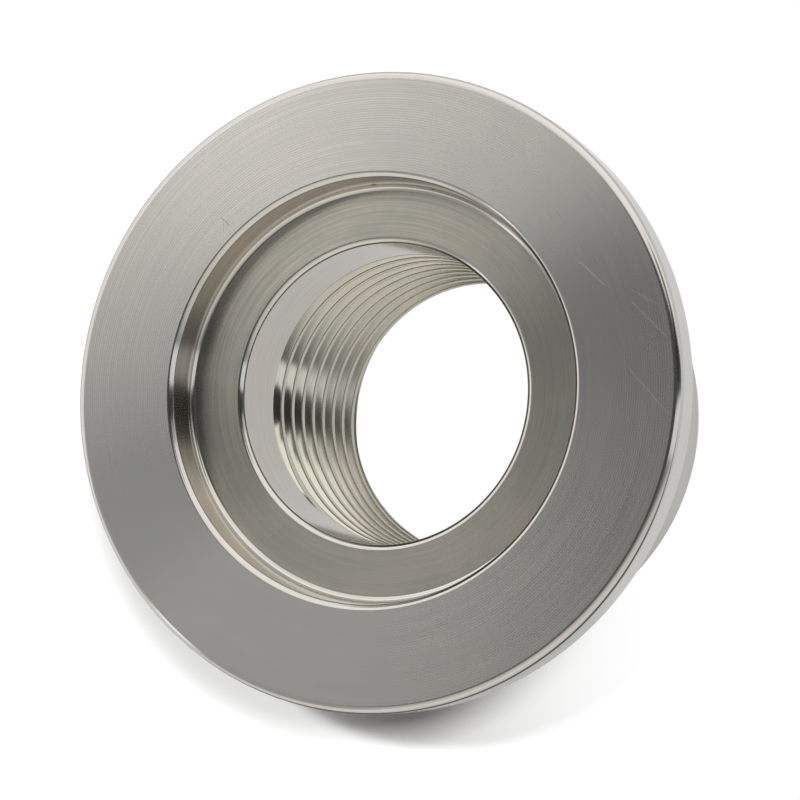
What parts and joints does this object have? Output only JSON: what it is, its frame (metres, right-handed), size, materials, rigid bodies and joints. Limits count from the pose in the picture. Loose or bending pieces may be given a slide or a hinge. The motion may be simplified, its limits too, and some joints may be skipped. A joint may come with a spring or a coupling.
{
  "type": "threaded flange adapter",
  "caption": "Round one-piece vacuum adapter: a clamped flange with a flat sealing face and a ring recess at one end, a hub with a female pipe thread at the other.",
  "frame": {"origin": "centre of the threaded end's face, which is the face the part stands on", "axes": "+Z along the turning axis, from the threaded end towards the sealing face; round about Z, so X and Y are free"},
  "size_m": [0.04, 0.04, 0.024],
  "materials": {
    "turned_steel": "bare stainless steel, fine turned with concentric tool marks"
  },
  "bodies": {
    "root": {"adapter_body": "turned_steel"}
  },
  "joints": []
}
